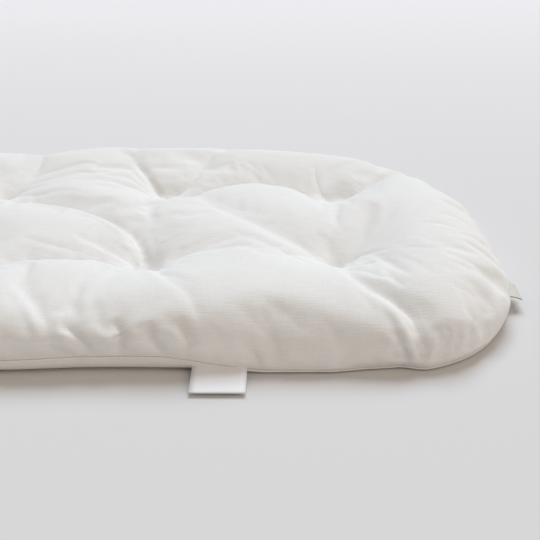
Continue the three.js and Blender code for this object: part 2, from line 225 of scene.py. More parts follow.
alongCount, acrossCount = (round(length / padShape["spacing"]) for length in padShape["fieldSize"])
cores = cornerCores()
stations = np.array(
    sideStations(cores["nearLeft"], cores["nearRight"], -3 * eighthTurn, alongCount)
    + sideStations(cores["nearRight"], cores["farRight"], -eighthTurn, acrossCount)
    + sideStations(cores["farRight"], cores["farLeft"], eighthTurn, alongCount)
    + sideStations(cores["farLeft"], cores["nearLeft"], 3 * eighthTurn, acrossCount)
)
corePlace, stationAngle, coreRadius = stations[:, :2], stations[:, 2], stations[:, 3]
outward = np.stack([np.cos(stationAngle), np.sin(stationAngle)], 1)


def stationRadii():
    s = padShape
    x = corePlace[:, 0]
    wave = np.cos(np.pi * (x + lastTuft) / tuftPitch) ** 2
    drawn = s["drawIn"] * wave * outward[:, 1] ** 2 * (np.abs(x) < s["drawInTo"])
    bulge = (x > 0) * np.interp(np.degrees(stationAngle), s["bulgeTurns"], s["bulges"])
    for _ in range(s["bulgePasses"]):
        bulge = (np.roll(bulge, 1) + bulge * 2 + np.roll(bulge, -1)) / 4
    return coreRadius - drawn + bulge


stationRadius = stationRadii()


def ringPoints(inset):
    return corePlace + outward * (stationRadius - inset)[:, None]


seamX = ringPoints(0.0)[:, 0]
nearSide = np.clip((-outward[:, 1] - seamRun["facingFrom"]) * seamRun["facingRamp"], 0, 1)


def alongNearSide(name, elsewhere):
    return elsewhere + (np.interp(seamX, seamRun["x"], seamRun[name]) - elsewhere) * nearSide


seamHeight = alongNearSide("height", seamRun["elsewhere"]["height"])
seamTuck = alongNearSide("tuck", seamRun["elsewhere"]["tuck"])
rollSwell = alongNearSide("swell", seamRun["elsewhere"]["swell"])
farPower = np.interp(outward[:, 1], padShape["rollFacings"], padShape["rollPowers"])
rollPower = alongNearSide("power", farPower)


def fieldPlaces():
    # Coons patch over the field's border, then evened out so that no face folds over at a round corner
    edge = ringPoints(padShape["rollDepth"])
    nx, ny = alongCount, acrossCount
    near = edge[: nx + 1]
    right = edge[nx: nx + ny + 1]
    far = edge[nx + ny: 2 * nx + ny + 1][::-1]
    left = np.vstack([edge[2 * nx + ny:], edge[:1]])[::-1]
    u = np.linspace(0, 1, nx + 1)[:, None, None]
    v = np.linspace(0, 1, ny + 1)[None, :, None]
    sides = (1 - v) * near[:, None] + v * far[:, None] + (1 - u) * left[None] + u * right[None]
    corners = (
        (1 - u) * (1 - v) * near[0] + u * (1 - v) * near[-1]
        + (1 - u) * v * far[0] + u * v * far[-1]
    )
    places = sides - corners
    for _ in range(padShape["evenPasses"]):
        places[1:-1, 1:-1] = (
            places[:-2, 1:-1] + places[2:, 1:-1] + places[1:-1, :-2] + places[1:-1, 2:]
        ) / 4
    for tuftX, tuftY in tufts:
        gap = np.hypot(places[:, :, 0] - tuftX, places[:, :, 1] - tuftY)
        places[np.unravel_index(gap.argmin(), gap.shape)] = (tuftX, tuftY)
    return places


field = fieldPlaces()


def borderPlaces():
    nx, ny = alongCount, acrossCount
    places = [(i, 0) for i in range(nx)] + [(nx, j) for j in range(ny)]
    places += [(i, ny) for i in range(nx, 0, -1)] + [(0, j) for j in range(ny, 0, -1)]
    return np.array([i * (ny + 1) + j for i, j in places])


def layFlat(mesh, flat):
    # the cloth's own map: where each vertex lies on the flat cloth, in metres
    layer = mesh.uv_layers.new(name="cloth")
    corners = np.zeros(len(mesh.loops), np.int32)
    mesh.loops.foreach_get("vertex_index", corners)
    layer.data.foreach_set("uv", flat[corners].astype(np.float32).ravel())


def meshPanel(name, fieldZ, bands, upward):
    # field grid, then one ring of vertices for each band
    ny = acrossCount
    vertices = [np.column_stack([field.reshape(-1, 2), fieldZ.ravel()])]
    border = borderPlaces()
    rings = [border]
    flat = [vertices[0][:, :2]]
    edge = vertices[0][border]
    spread = np.zeros(len(edge))
    for plan, height in bands:
        ring = np.column_stack([plan, np.broadcast_to(height, len(plan))])
        spread = spread + np.linalg.norm(ring - edge, axis=1)
        edge = ring
        first = sum(len(part) for part in vertices)
        rings.append(np.arange(first, first + len(ring)))
        vertices.append(ring)
        flat.append(flat[0][border] + outward * spread[:, None])
    faces = []
    for i in range(alongCount):
        for j in range(ny):
            a = i * (ny + 1) + j
            faces.append((a, a + ny + 1, a + ny + 2, a + 1))
    for inner, outer in zip(rings[:-1], rings[1:]):
        following = np.roll(np.arange(len(inner)), -1)
        for k, n in enumerate(following):
            faces.append((inner[k], outer[k], outer[n], inner[n]))
    if not upward:
        faces = [face[::-1] for face in faces]
    mesh = bpy.data.meshes.new(name)
    mesh.from_pydata(np.vstack(vertices).tolist(), [], [tuple(map(int, f)) for f in faces])
    layFlat(mesh, np.vstack(flat))
    piece = bpy.data.objects.new(name, mesh)
    scene.collection.objects.link(piece)
    return piece, rings


def buildTopPanel():
    s = padShape
    fieldZ = topHeight(field[:, :, 0], field[:, :, 1])
    borderZ = fieldZ.ravel()[borderPlaces()]
    seam = seamHeight + s["seamGap"]
    bands = []
    for band in range(1, s["rollBands"] + 1):
        angle = math.pi / 2 * (1 - band / s["rollBands"])
        across, up = max(math.cos(angle), 0) ** rollPower, math.sin(angle) ** rollPower
        inset = s["rollDepth"] * (1 - across) - rollSwell * math.sin(2 * angle) ** s["swellPower"]
        inset = inset + seamTuck * (1 - up) ** 2
        if band == s["rollBands"]:
            bands.append((ringPoints(inset), seam + s["lip"]))
        bands.append((ringPoints(inset), seam + (borderZ - seam) * up))
    bands.append((ringPoints(seamTuck + s["lip"]), seam))
    bands.append((ringPoints(seamTuck + s["turnIn"]), seam))
    return meshPanel("topPanel", fieldZ, bands, True)


def buildBottomPanel():
    s = padShape
    fieldZ = undersideHeight(field[:, :, 0], field[:, :, 1])
    seam = seamHeight - s["seamGap"]
    bands = []
    for share in np.linspace(1, 0, s["flatBands"] + 1)[1:]:
        inset = s["underDepth"] + seamTuck + (s["rollDepth"] - s["underDepth"] - seamTuck) * share
        bands.append((ringPoints(inset), 0.0))
    for band in range(1, s["underBands"] + 1):
        angle = math.pi / 2 * (1 - band / s["underBands"])
        swell = s["underSwell"] * math.sin(2 * angle) ** s["swellPower"]
        inset = s["underDepth"] * (1 - math.cos(angle)) - swell + seamTuck
        if band == s["underBands"]:
            bands.append((ringPoints(inset), seam - s["lip"]))
        bands.append((ringPoints(inset), seam * (1 - math.sin(angle))))
    bands.append((ringPoints(seamTuck + s["lip"]), seam))
    bands.append((ringPoints(seamTuck + s["turnIn"]), seam))
    return meshPanel("bottomPanel", fieldZ, bands, False)


# Folds traced on the photograph, in its pixels. Each has a depth, a reach towards the near side and one
# towards the far side in millimetres, how soon each end deepens, and the pixels passed
photoSize = 540
pixelSlack = 12
perMetre = 1000
mainFolds = {
    "midArc": (7.5, 4, 12, 0.1, 0.1, [(5, 203), (30, 200), (50, 201), (75, 205), (95, 210), (112, 217),
                                      (124, 224), (133, 231), (139, 243), (142, 256), (145, 268)]),
    "nearArc": (6, 4, 10, 0.1, 0.1, [(-41, 268), (-20, 266), (0, 262), (20, 258), (40, 256), (60, 256),
                                     (80, 256), (95, 257), (110, 261), (125, 266), (140, 269)]),
    "farArc": (6, 4, 8, 0.1, 0.1, [(172, 199), (190, 194), (205, 189), (220, 185), (240, 182), (258, 181),
                                   (280, 184), (295, 187), (307, 192), (317, 198), (328, 202)]),
    "farEnd": (6, 5, 9, 0.1, 0.5, [(332, 201), (345, 195), (358, 188), (372, 181), (385, 177), (396, 174)]),
    "backFan": (4, 5, 5, 0.1, 0.7, [(170, 198), (185, 185), (200, 169), (215, 157)]),
    "backFanLeft": (3.5, 5, 5, 0.1, 0.7, [(165, 198), (158, 190), (150, 180), (140, 166), (129, 157)]),
    "cross": (1.6, 6, 12, 0.6, 0.1, [(185, 194), (215, 206), (240, 216), (262, 226), (280, 234),
                                     (295, 242), (310, 252), (325, 265)]),
    "endPleat": (5.5, 4, 11, 0.6, 0.15, [(345, 269), (357, 278), (368, 285), (380, 291), (395, 299),
                                         (405, 307), (413, 315), (420, 326), (424, 338), (430, 352),
                                         (433, 360)]),
    "middle": (1.6, 5, 5, 0.1, 0.1, [(150, 203), (149, 212), (152, 224), (155, 237), (156, 250),
                                     (154, 265)]),
    "rightArc": (3.5, 4, 7, 0.1, 0.7, [(150, 269), (160, 264), (170, 259), (180, 254), (190, 251),
                                       (205, 248)]),
    "nearFace": (2.4, 5, 8, 0.7, 0.1, [(75, 237), (90, 241), (105, 247), (120, 255), (133, 264)]),
    "backLeft": (1.2, 5, 5, 0.1, 0.9, [(5, 201), (15, 192), (30, 180), (43, 166), (47, 158)]),
    "shortEnd": (1.3, 5, 6, 0.1, 0.8, [(337, 267), (345, 262), (350, 249), (357, 237)]),
    "frontDeep": (2.3, 3, 5, 0.5, 0.4, [(12, 282), (25, 295), (35, 304), (42, 313), (45, 325), (48, 340),
                                        (53, 353)]),
    "frontSecond": (3.2, 3, 5, 0.4, 0.3, [(62, 322), (71, 330), (79, 342), (88, 353)]),
}
# Narrower folds, pressed in after the cloth has settled
fineFolds = {
    "acrossPleat": (0.9, 3, 3, 0.5, 0.1, [(225, 228), (245, 235), (262, 241), (280, 249), (300, 259),
                                          (322, 267)]),
    "tuftRightLow": (1.2, 2.5, 3, 0.1, 0.6, [(155, 271), (168, 273), (183, 278), (196, 282)]),
    "frontPleat": (1.6, 3, 5, 0.4, 0.5, [(152, 270), (165, 276), (180, 285), (190, 297), (196, 311),
                                         (200, 325), (203, 338)]),
    "tuftRightFlat": (1.2, 2.5, 3, 0.1, 0.6, [(155, 269), (168, 267), (180, 264), (195, 262)]),
    "nearFaceLine": (0.9, 2.5, 3, 0.5, 0.5, [(20, 236), (45, 243), (65, 248), (85, 251)]),
    "backTuftLine": (1.3, 2.5, 2.5, 0.1, 0.6, [(146, 268), (143, 252), (138, 242), (130, 236)]),
    "fanOne": (1.4, 2, 2, 0.1, 0.6, [(163, 197), (155, 187), (145, 173), (133, 161)]),
    "fanTwo": (1.4, 2, 2, 0.1, 0.6, [(161, 198), (150, 188), (138, 177), (128, 170)]),
    "fanThree": (1.4, 2, 2, 0.1, 0.6, [(159, 198), (148, 190), (137, 183), (127, 179)]),
    "fanFour": (1.6, 2.5, 3, 0.1, 0.6, [(157, 199), (148, 195), (138, 189), (125, 185), (100, 180)]),
    "fanFive": (1.3, 2.5, 2.5, 0.1, 0.6, [(176, 197), (188, 186), (200, 178), (212, 170)]),
    "softHollow": (1.6, 8, 10, 0.4, 0.6, [(190, 194), (210, 198), (230, 206), (255, 212), (278, 213)]),
    "leftReach": (1.2, 3, 3, 0.1, 0.6, [(8, 200), (30, 195), (60, 190), (85, 192)]),
    "farTuftUp": (1.2, 2.5, 2.5, 0.1, 0.6, [(327, 200), (320, 191), (316, 177), (314, 165)]),
    "farTuftEnd": (1.1, 6, 7, 0.1, 0.7, [(334, 202), (350, 197), (368, 193), (388, 191)]),
    "farEdgePleat": (1.3, 3, 3, 0.5, 0.5, [(370, 172), (385, 170), (395, 174)]),
    "frontThird": (3.2, 2.6, 3.6, 0.4, 0.2, [(112, 320), (118, 331), (118, 344), (118, 355)]),
    "frontFourth": (3.0, 2.6, 4, 0.4, 0.2, [(145, 324), (149, 338), (157, 352)]),
    "frontFifth": (3.0, 2.6, 4, 0.4, 0.2, [(176, 320), (184, 334), (189, 348)]),
    "byLabel": (3.0, 4, 5, 0.5, 0.3, [(240, 338), (248, 350), (260, 361)]),
    "slantOne": (1.8, 8, 9, 0.5, 0.5, [(258, 294), (275, 305), (292, 318), (306, 333)]),
    "slantTwo": (1.7, 8, 8, 0.5, 0.5, [(232, 300), (250, 316), (266, 334), (290, 350)]),
    "tuftEndOne": (1.2, 2.2, 2.2, 0.1, 0.6, [(340, 268), (352, 261), (363, 255), (375, 251), (390, 249)]),
    "tuftEndTwo": (1.1, 2.2, 2.2, 0.1, 0.6, [(342, 268), (355, 265), (370, 263), (388, 262)]),
    "tuftEndThree": (1.0, 2.5, 2.5, 0.2, 0.6, [(345, 269), (362, 270), (380, 275), (395, 279)]),
    "gatherOne": (3.6, 3, 3.4, 0.7, 0.1, [(396, 330), (400, 342), (405, 352), (407, 362)]),
    "gatherTwo": (4.2, 3, 3.4, 0.7, 0.1, [(411, 326), (416, 338), (421, 350), (423, 362)]),
    "gatherThree": (4.2, 3, 3.4, 0.7, 0.1, [(438, 326), (440, 338), (442, 350), (439, 360)]),
    "gatherFour": (3.6, 3, 3.4, 0.7, 0.1, [(446, 320), (449, 332), (450, 344), (447, 357)]),
    "gatherFive": (3.0, 3, 3.2, 0.7, 0.1, [(460, 322), (460, 334), (459, 345), (456, 355)]),
    "gatherSix": (2.6, 3, 3.2, 0.7, 0.1, [(475, 318), (474, 330), (472, 341), (467, 351)]),
    "labelSidePleat": (2.0, 3, 3, 0.4, 0.2, [(391, 348), (394, 356), (395, 362)]),
    "rimOne": (1.0, 2.5, 2.5, 0.5, 0.5, [(436, 200), (448, 202), (458, 210)]),
    "rimTwo": (1.1, 2.8, 2.8, 0.5, 0.5, [(438, 213), (456, 217), (470, 226), (480, 235)]),
    "rimThree": (0.9, 2.5, 2.5, 0.5, 0.5, [(420, 222), (445, 224), (463, 231)]),
    "rimFour": (1.3, 2.8, 2.8, 0.5, 0.4, [(458, 233), (476, 238), (488, 247), (497, 260)]),
    "rimFive": (1.0, 3, 3, 0.5, 0.5, [(440, 249), (460, 257), (480, 268), (490, 281)]),
    "rimSix": (1.2, 3, 6, 0.5, 0.2, [(455, 264), (475, 270), (488, 279), (497, 291), (502, 304),
                                     (504, 313)]),
    "rimSeven": (1.1, 5, 5, 0.5, 0.5, [(452, 285), (468, 290), (480, 303), (486, 317)]),
}
# A fold this far to the right, in metres, is also laid turned half round on the half that isn't seen
turnedFrom = 0.040
# Section of a fold: a valley, with a low ridge on each side of it
foldSection = {
    "power": 1.3,
    "ridge": 0.12,            # of the valley's depth
    "ridgeAt": 2.2,           # place of the ridge, in reaches
    "feltTo": 4,              # how far a fold is felt, in reaches
}
# How the vertices near a fold's line are moved on to it
mainPull = {"reach": 0.0021, "share": 0.85, "ends": 0.03}
finePull = {"reach": 0.0014, "share": 0.8, "ends": 0.03}
# Main folds stay open while the cloth settles, save near their ends, and stay above the seam
mainHold = {"ends": 0.5, "lowest": 0.014}
# The crease at the bottom of a main fold of some depth, pressed in with the narrower folds
creaseSettings = {"depth": 0.0012, "reach": 0.0022, "from": 0.0027}
# Narrow folds die out over this stretch where the seam holds the cloth
seamFade = {"below": 0.022, "start": 0.0015, "length": 0.005}


def laidOnPixel(surface, column, row):
    # the place on the surface that the photograph shows at a pixel, or at the nearest one above or below
    turned = scene.camera.rotation_quaternion.to_matrix()
    away = photoSize * cameraSettings["lens"] / scene.camera.data.sensor_width
    for lift in sorted(range(-pixelSlack, pixelSlack + 1), key=abs):
        ahead = turned @ Vector((column - photoSize / 2, photoSize / 2 - row + lift, -away))
        place = surface.ray_cast(scene.camera.location, ahead.normalized())[0]
        if place is not None:
            return place
    raise ValueError(f"pixel {column}, {row} is off the pad")


def roundedPath(corners):
    padded = np.vstack([2 * corners[0] - corners[1], corners, 2 * corners[-1] - corners[-2]])
    path = []
    for a, b, c, d in zip(padded[:-3], padded[1:-2], padded[2:-1], padded[3:]):
        for t in (0, 1 / 3, 2 / 3):
            path.append(b + (c - a) * t / 2 + (2 * a - 5 * b + 4 * c - d) * t * t / 2
                        + (3 * b - a - 3 * c + d) * t ** 3 / 2)
    path.append(corners[-1])
    return path


def foldTable(folds, surface):
    table = []
    for depth, near, far, fadeStart, fadeEnd, pixels in folds.values():
        corners = np.array([laidOnPixel(surface, column, row) for column, row in pixels])
        turns = [(1, 1, 1)]
        if corners[:, 0].max() > turnedFrom:
            turns.append((-1, -1, 1))
        leftReach, rightReach = (far, near) if pixels[-1][0] > pixels[0][0] else (near, far)
        for turn in turns:
            path = roundedPath(corners * turn)
            laid = np.array([surface.find_nearest(Vector(point))[0] for point in path])
            sizes = (depth / perMetre, leftReach / perMetre, rightReach / perMetre)
            table.append((*sizes, fadeStart, fadeEnd, laid))
    return table


def fadeEnds(along, fadeStart, fadeEnd):
    return np.sqrt(np.clip(along / fadeStart, 0, 1)) * np.sqrt(np.clip((1 - along) / fadeEnd, 0, 1))


def foldShape(points, normals, fold):
    # depth at each point, the nearest place on the fold, and the distance to it
    depth, leftReach, rightReach, fadeStart, fadeEnd, path = fold
    section = foldSection
    box = max(leftReach, rightReach) * section["feltTo"]
    inside = np.all((points > path.min(0) - box) & (points < path.max(0) + box), axis=1)
    close = np.nonzero(inside)[0]
    some, outside = points[close], normals[close]
    best = np.full(len(some), 9.0)
    along = np.zeros(len(some))
    side = np.ones(len(some))
    foot = some.copy()
    lengths = np.linalg.norm(np.diff(path, axis=0), axis=1)
    starts = np.concatenate([[0], np.cumsum(lengths)])
    for number, (a, b) in enumerate(zip(path[:-1], path[1:])):
        step = b - a
        share = np.clip((some - a) @ step / max(step @ step, 1e-12), 0, 1)
        place = a + share[:, None] * step
        gap = np.linalg.norm(some - place, axis=1)
        closer = gap < best
        best[closer] = gap[closer]
        along[closer] = ((starts[number] + share * lengths[number]) / starts[-1])[closer]
        foot[closer] = place[closer]
        side[closer] = np.einsum("ij,ij->i", some[closer] - a, np.cross(outside[closer], step))
    reach = np.where(side > 0, leftReach, rightReach)
    ridge = section["ridge"] * np.exp(-((best - section["ridgeAt"] * reach) / reach) ** 2)
    valley = np.exp(-(best / reach) ** section["power"]) - ridge
    return close, depth * valley * fadeEnds(along, fadeStart, fadeEnd), foot, best, along


def awayFromEnds(along, start, end):
    return (along > start) & (along < 1 - end)


def pullOnToFold(shift, points, fold, settings):
    close, _, foot, gap, along = fold
    near = (gap < settings["reach"]) & awayFromEnds(along, settings["ends"], settings["ends"])
    shift[close[near]] = (foot[near] - points[close[near]]) * settings["share"]


def meshPoints(mesh):
    points = np.zeros(len(mesh.vertices) * 3, np.float32)
    mesh.vertices.foreach_get("co", points)
    return points.reshape(-1, 3).astype(float)


def meshNormals(mesh):
    normals = np.zeros(len(mesh.vertices) * 3, np.float32)
    mesh.vertex_normals.foreach_get("vector", normals)
    return normals.reshape(-1, 3).astype(float)


def setPoints(mesh, points):
    mesh.vertices.foreach_set("co", points.astype(np.float32).ravel())
    mesh.update()


def surfaceOf(mesh):
    return BVHTree.FromPolygons([v.co for v in mesh.vertices], [p.vertices for p in mesh.polygons])


def creaseUnder(surface, fold):
    # the crease that runs along the bottom of a fold once it is pressed in
    depth, _, _, fadeStart, fadeEnd, path = fold
    laid = [surface.find_nearest(Vector(point)) for point in path]
    starts = np.concatenate([[0], np.cumsum(np.linalg.norm(np.diff(path, axis=0), axis=1))])
    down = depth * fadeEnds(starts / starts[-1], fadeStart, fadeEnd)
    bottom = [place - normal * drop for (place, normal, _, _), drop in zip(laid, down)]
    reach = creaseSettings["reach"]
    return creaseSettings["depth"], reach, reach, fadeStart, fadeEnd, np.array(bottom)


def pressMainFolds(panel):
    # draws the cover in along the main folds, and moves the nearest vertices on to them
    points = meshPoints(panel.data)
    normals = meshNormals(panel.data)
    down = np.zeros(len(points))
    onFold = np.zeros(len(points), bool)
    shift = np.zeros((len(points), 3))
    surface = surfaceOf(panel.data)
    table = foldTable(mainFolds, surface)
    for fold in table:
        shape = foldShape(points, normals, fold)
        close, drop, _, gap, along = shape
        down[close] = np.where(np.abs(drop) > np.abs(down[close]), drop, down[close])
        pullOnToFold(shift, points, shape, mainPull)
        fadeStart, fadeEnd = fold[3:5]
        held = awayFromEnds(along, fadeStart * mainHold["ends"], fadeEnd * mainHold["ends"])
        onFold[close[held & (gap < mainPull["reach"])]] = True
    pressed = points + shift - normals * down[:, None]
    pressed[:, 2] = np.maximum(pressed[:, 2], np.minimum(points[:, 2], mainHold["lowest"]))
    setPoints(panel.data, pressed)
    creases = [creaseUnder(surface, fold) for fold in table if fold[0] > creaseSettings["from"]]
    return np.nonzero(onFold)[0], creases


clothSettings = {"smoothing": 0.5, "thickness": 0.001, "fill": 0.6}
simSettings = {
    "frames": 30,
    "pressure": 4.0,
    "quality": 6,
    "mass": 0.3,
    "tension": 15.0,
    "compression": 15.0,
    "shear": 5.0,
    "bending": 0.1,
    "looseness": 0.012,
    "most": 0.010,            # furthest that a point may move
    "seamRings": 4,           # rings of vertices that the seam holds
    "tuftHold": 0.003,        # how far round a tuft the cloth is held
    "foldHold": 1.0,
}


def simulatePanel(panel, rings, folded, settings):
    rest = meshPoints(panel.data)
    held = panel.vertex_groups.new(name="held")
    for ring in rings[-settings["seamRings"]:]:
        held.add([int(i) for i in ring], 1.0, "REPLACE")
    for tuftX, tuftY in tufts:
        away = np.hypot(rest[:, 0] - tuftX, rest[:, 1] - tuftY)
        held.add([int(i) for i in np.nonzero(away < settings["tuftHold"])[0]], 1.0, "REPLACE")
    held.add([int(i) for i in folded], settings["foldHold"], "REPLACE")
    cloth = panel.modifiers.new("cloth", "CLOTH")
    cloth.settings.quality = settings["quality"]
    cloth.settings.mass = settings["mass"]
    cloth.settings.tension_stiffness = settings["tension"]
    cloth.settings.compression_stiffness = settings["compression"]
    cloth.settings.shear_stiffness = settings["shear"]
    cloth.settings.bending_stiffness = settings["bending"]
    cloth.settings.shrink_min = -settings["looseness"]
    cloth.settings.shrink_max = -settings["looseness"]
    cloth.settings.use_pressure = True
    cloth.settings.uniform_pressure_force = settings["pressure"]
    cloth.settings.vertex_group_mass = "held"
    cloth.settings.effector_weights.gravity = 0.0
    cloth.collision_settings.use_collision = False
    cloth.point_cache.frame_start = 1
    cloth.point_cache.frame_end = settings["frames"]
    for number in range(1, settings["frames"] + 1):
        scene.frame_set(number)
    moved = meshPoints(panel.evaluated_get(bpy.context.evaluated_depsgraph_get()).data)
    shift = moved - rest
    length = np.linalg.norm(shift, axis=1)
    print("moved at most", round(float(length.max()), 4), "and on average", round(float(length.mean()), 4))
    panel.modifiers.remove(cloth)
    panel.vertex_groups.clear()
    scene.frame_set(1)
    shift *= np.minimum(1, settings["most"] / np.maximum(length, 1e-9))[:, None]
    setPoints(panel.data, rest + shift)


def applyAll(piece):
    bpy.ops.object.select_all(action="DESELECT")
    piece.select_set(True)
    bpy.context.view_layer.objects.active = piece
    for modifier in list(piece.modifiers):
        bpy.ops.object.modifier_apply(modifier=modifier.name)


def refine(piece, levels):
    subdivision = piece.modifiers.new("fine", "SUBSURF")
    subdivision.levels = subdivision.render_levels = levels
    applyAll(piece)


def fadeAtSeam(points):
    # folds die out where the cloth is held by the seam
    seamLine = np.column_stack([ringPoints(seamTuck), seamHeight])
    tree = KDTree(len(seamLine))
    for number, place in enumerate(seamLine):
        tree.insert(place, number)
    tree.balance()
    held = np.ones(len(points))
    for number in np.nonzero(points[:, 2] < seamFade["below"])[0]:
        away = tree.find(points[number])[2]
        held[number] = np.clip((away - seamFade["start"]) / seamFade["length"], 0, 1)
    return held


def pressFineFolds(panel, creases):
    # the narrower folds, and a crease at the bottom of each main fold
    surface = surfaceOf(panel.data)
    table = foldTable(fineFolds, surface)
    for *shape, path in creases:
        table.append((*shape, np.array([surface.find_nearest(Vector(point))[0] for point in path])))
    points = meshPoints(panel.data)
    normals = meshNormals(panel.data)
    down = np.zeros(len(points))
    shift = np.zeros((len(points), 3))
    for fold in table:
        shape = foldShape(points, normals, fold)
        down[shape[0]] += shape[1]
        pullOnToFold(shift, points, shape, finePull)
    held = fadeAtSeam(points)[:, None]
    setPoints(panel.data, points + (shift - normals * down[:, None]) * held)
    even = panel.modifiers.new("even", "SMOOTH")
    even.factor = clothSettings["smoothing"]
    even.iterations = 1
    applyAll(panel)


topPanel, topRings = buildTopPanel()
folded, creases = pressMainFolds(topPanel)
print("top panel meshed", len(topPanel.data.vertices))
simulatePanel(topPanel, topRings, folded, simSettings)
print("top panel simulated")
refine(topPanel, 1)
pressFineFolds(topPanel, creases)

bottomPanel = buildBottomPanel()[0]
for panel in (topPanel, bottomPanel):
    panel.data.shade_smooth()
    wall = panel.modifiers.new("wall", "SOLIDIFY")
    wall.thickness = clothSettings["thickness"]
    wall.offset = -1.0
    applyAll(panel)
    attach(panel, "root")
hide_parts("top_cover", "batting_upper")
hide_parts("bottom_cover", "batting_lower")
print("panels finished")


# Ties: a twisted cotton twine, up through the pad, across the bottom of the tuft and down to a knot. Its
# route is in millimetres from the tuft's place on the floor
tieSettings = {
    "radius": 0.0006,
    "lobe": 0.22,             # how far the groove between the two strands goes in
    "twist": 0.0028,          # length of one turn of the strands
    "step": 0.0004,
    "sides": 12,
    "firstSide": (0.3, 0.2, 1.0),     # any direction that the twine doesn't start along
    "turn": 45,
    "route": [(-1.2, -4.4, 4.2), (-0.9, -2.4, 5.9), (0.6, -1.7, 6.9), (1.7, 0.0, 6.5), (0.4, 1.6, 6.3),
              (-1.4, 0.9, 7.2), (-2.1, 0.0, 9.5), (-2.2, 0.0, 16.0), (-2.1, 0.0, 19.5), (-1.1, 0.0, 20.5),
              (1.1, 0.0, 20.5), (2.1, 0.0, 19.5), (2.2, 0.0, 16.0), (2.1, 0.0, 9.5), (1.3, -0.9, 7.6),
              (-0.5, -1.6, 6.6), (-1.7, 0.1, 6.2), (-0.6, 1.8, 6.4), (0.9, 2.6, 5.8), (1.3, 4.5, 4.0)],
}


def evenPath(corners, step):
    path = np.array(roundedPath(corners))
    lengths = np.concatenate([[0], np.cumsum(np.linalg.norm(np.diff(path, axis=0), axis=1))])
    places = np.linspace(0, lengths[-1], round(lengths[-1] / step) + 1)
    return np.stack([np.interp(places, lengths, path[:, axis]) for axis in range(3)], 1)


def buildTie(number, place, settings):
    turn = math.radians(settings["turn"])
    u, v, w = np.array(settings["route"]).T / perMetre
    corners = np.stack([place[0] + u * math.cos(turn) - v * math.sin(turn),
                        place[1] + u * math.sin(turn) + v * math.cos(turn), w], 1)
    path = evenPath(corners, settings["step"])
    heading = np.gradient(path, axis=0)
    heading /= np.linalg.norm(heading, axis=1)[:, None]
    angles = np.linspace(0, 2 * math.pi, settings["sides"], endpoint=False)
    side = np.cross(heading[0], settings["firstSide"])
    rings = []
    for step, (point, ahead) in enumerate(zip(path, heading)):
        side = side - ahead * (side @ ahead)
        side /= np.linalg.norm(side)
        up = np.cross(ahead, side)
        twist = 2 * math.pi * step * settings["step"] / settings["twist"]
        radius = settings["radius"] * (1 - settings["lobe"] * np.sin(angles - twist) ** 2)
        circle = np.cos(angles)[:, None] * side + np.sin(angles)[:, None] * up
        rings.append(point + radius[:, None] * circle)
    count = settings["sides"]
    faces = [tuple(range(count))[::-1], tuple(range((len(rings) - 1) * count, len(rings) * count))]
    for step in range(len(rings) - 1):
        for corner in range(count):
            following = (corner + 1) % count
            a, b = step * count + corner, step * count + following
            faces.append((a, b, b + count, a + count))
    mesh = bpy.data.meshes.new(f"twineTie{number}")
    mesh.from_pydata(np.vstack(rings).tolist(), [], faces)
    mesh.shade_smooth()
    tie = bpy.data.objects.new(f"twineTie{number}", mesh)
    scene.collection.objects.link(tie)
    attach(tie, "root")
    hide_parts(f"tuft_tie_{number}")
    return tie


ties = [buildTie(number, place, tieSettings) for number, place in enumerate(tufts, 1)]
print("ties made")

# Blank woven label, folded at its tip, from the seam down to the floor
labelSettings = {
    "width": 0.032,
    "thickness": 0.0003,
    "levels": 3,
    "start": (-0.1560, 0.0052),       # Y and Z of its root
    "steps": [(-0.0060, 0.0), (-0.0050, -0.0006), (-0.0070, -0.0008), (-0.0080, -0.0006), (-0.0070, 0.0),
              (-0.0014, -0.0004), (0.0, -0.0007), (0.0014, -0.0003), (0.0070, 0.0), (0.0080, 0.0004),
              (0.0070, 0.0006), (0.0050, 0.0007), (0.0060, 0.0004)],
}


def buildLabel(settings):
    low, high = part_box("woven_label")
    bpy.ops.object.select_all(action="DESELECT")
    bpy.ops.mesh.primitive_plane_add(size=settings["width"])
    label = bpy.context.object
    label.name = "foldedLabel"
    # only the plane's near edge is kept, at the root of the label
    bpy.ops.object.mode_set(mode="EDIT")
    bpy.ops.mesh.select_mode(type="VERT")
    bpy.ops.mesh.select_all(action="DESELECT")
    bpy.ops.object.mode_set(mode="OBJECT")
    for vertex in label.data.vertices:
        vertex.select = vertex.co.y > 0
    bpy.ops.object.mode_set(mode="EDIT")
    bpy.ops.mesh.delete(type="VERT")
    bpy.ops.mesh.select_all(action="SELECT")
    bpy.ops.transform.translate(value=(
        (low.x + high.x) / 2, settings["start"][0] + settings["width"] / 2, settings["start"][1]))
    for y, z in settings["steps"]:
        bpy.ops.mesh.extrude_region_move(TRANSFORM_OT_translate={"value": (0, y, z)})
    bpy.ops.mesh.select_all(action="SELECT")
    bpy.ops.mesh.normals_make_consistent(inside=False)
    bpy.ops.object.mode_set(mode="OBJECT")
    rounded = label.modifiers.new("rounded", "SUBSURF")
    rounded.levels = rounded.render_levels = settings["levels"]
    rounded.boundary_smooth = "PRESERVE_CORNERS"
    ply = label.modifiers.new("ply", "SOLIDIFY")
    ply.thickness = settings["thickness"]
    ply.offset = 0
    applyAll(label)
    label.data.shade_smooth()
    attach(label, "root")
    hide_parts("woven_label")
    return label


label = buildLabel(labelSettings)
print("label made")


def feed(tree, socket, value):
    # a value that is a socket is linked, and any other is set
    if isinstance(value, bpy.types.NodeSocket):
        tree.links.new(value, socket)
    else:
        socket.default_value = value


def addNode(tree, kind, values=None, **settings):
    node = tree.nodes.new(kind)
    for name, value in settings.items():
        setattr(node, name, value)
    for name, value in (values or {}).items():
        feed(tree, node.inputs[name], value)
    return node


